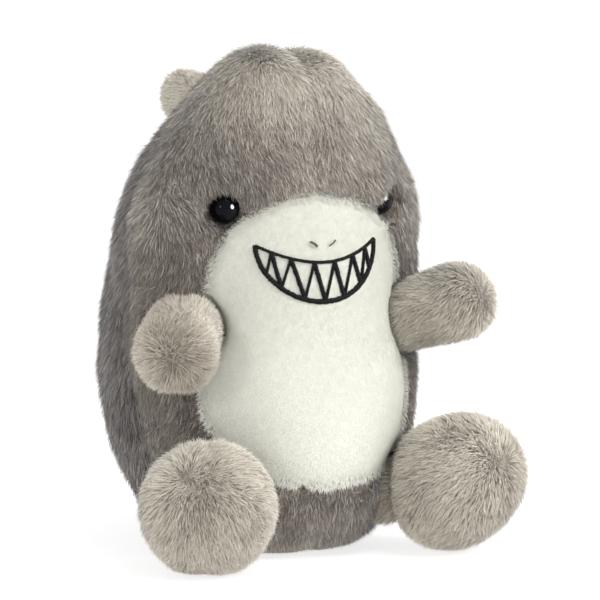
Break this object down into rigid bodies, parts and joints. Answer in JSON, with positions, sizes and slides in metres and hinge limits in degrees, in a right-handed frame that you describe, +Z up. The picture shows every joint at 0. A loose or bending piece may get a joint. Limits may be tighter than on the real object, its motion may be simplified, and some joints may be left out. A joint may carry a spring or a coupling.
{
  "type": "plush shark",
  "caption": "Seated palm-size plush shark with an upright rounded body, white face and belly, stitched toothy grin, dome eyes, stub arms, ball feet, dorsal fin and tail.",
  "frame": {"origin": "centre of the flat base that the toy sits on", "axes": "+Z up; the shark faces -Y, its left side is +X and its tail points towards +Y"},
  "size_m": [0.0996, 0.1117, 0.119],
  "materials": {
    "grey_fur": "long-pile plush fur, mid grey, brushed down",
    "dark_grey_fur": "long-pile plush fur, dark grey",
    "pale_grey_fur": "long-pile plush fur, pale warm grey",
    "white_plush": "short-pile white plush",
    "fibre_fill": "loose polyester fibre fill",
    "pouch_cloth": "thin woven pouch cloth",
    "pellets": "small plastic pellets, packed",
    "eye_gloss": "polished black plastic",
    "washer": "moulded plastic",
    "black_thread": "satin-stitch embroidery thread, black",
    "grey_thread": "sewing thread, grey"
  },
  "bodies": {
    "body": {"side_panel_right": "grey_fur", "side_panel_left": "grey_fur", "back_panel": "dark_grey_fur", "belly_panel": "white_plush", "base_panel": "dark_grey_fur", "head_stuffing": "fibre_fill", "body_stuffing": "fibre_fill", "pellet_pouch": "pouch_cloth", "pellets": "pellets", "eye_right": "eye_gloss", "eye_left": "eye_gloss", "eye_washer_right": "washer", "eye_washer_left": "washer", "mouth_embroidery": "black_thread", "nostril_stitches": "black_thread", "closing_stitches": "grey_thread"},
    "arm_right": {"arm_right_front": "pale_grey_fur", "arm_right_back": "pale_grey_fur", "arm_right_stuffing": "fibre_fill"},
    "arm_left": {"arm_left_front": "pale_grey_fur", "arm_left_back": "pale_grey_fur", "arm_left_stuffing": "fibre_fill"},
    "foot_right": {"foot_right_inner": "pale_grey_fur", "foot_right_outer": "pale_grey_fur", "foot_right_stuffing": "fibre_fill"},
    "foot_left": {"foot_left_inner": "pale_grey_fur", "foot_left_outer": "pale_grey_fur", "foot_left_stuffing": "fibre_fill"},
    "dorsal_fin": {"dorsal_fin_right": "pale_grey_fur", "dorsal_fin_left": "pale_grey_fur", "dorsal_fin_stuffing": "fibre_fill"},
    "tail": {"tail_right": "dark_grey_fur", "tail_left": "dark_grey_fur", "tail_stuffing": "fibre_fill"}
  },
  "joints": [
    {"name": "arm_right_swing", "type": "hinge", "parent": "body", "child": "arm_right", "pos_m": [-0.03069, -0.01712, 0.0545], "axis": [-0.788, 0.6157, 0], "range_deg": [-7, 25], "stiffness_Nm_per_rad": 0.01},
    {"name": "arm_left_swing", "type": "hinge", "parent": "body", "child": "arm_left", "pos_m": [0.03069, -0.01712, 0.0545], "axis": [-0.788, -0.6157, 0], "range_deg": [-25, 12], "stiffness_Nm_per_rad": 0.01},
    {"name": "foot_right_splay", "type": "hinge", "parent": "body", "child": "foot_right", "pos_m": [-0.02292, -0.02289, 0.014], "axis": [0, 0, -1], "range_deg": [-10, 15], "stiffness_Nm_per_rad": 0.02},
    {"name": "foot_left_splay", "type": "hinge", "parent": "body", "child": "foot_left", "pos_m": [0.02292, -0.02289, 0.014], "axis": [0, 0, 1], "range_deg": [-10, 15], "stiffness_Nm_per_rad": 0.02},
    {"name": "dorsal_fin_flop", "type": "hinge", "parent": "body", "child": "dorsal_fin", "pos_m": [0, 0.02327, 0.10095], "axis": [0, -0.5745, 0.8185], "range_deg": [-35, 35], "stiffness_Nm_per_rad": 0.002},
    {"name": "tail_wag", "type": "hinge", "parent": "body", "child": "tail", "pos_m": [0, 0.04074, 0.02632], "axis": [0, 0.2285, 0.9735], "range_deg": [-25, 25], "stiffness_Nm_per_rad": 0.002}
  ]
}
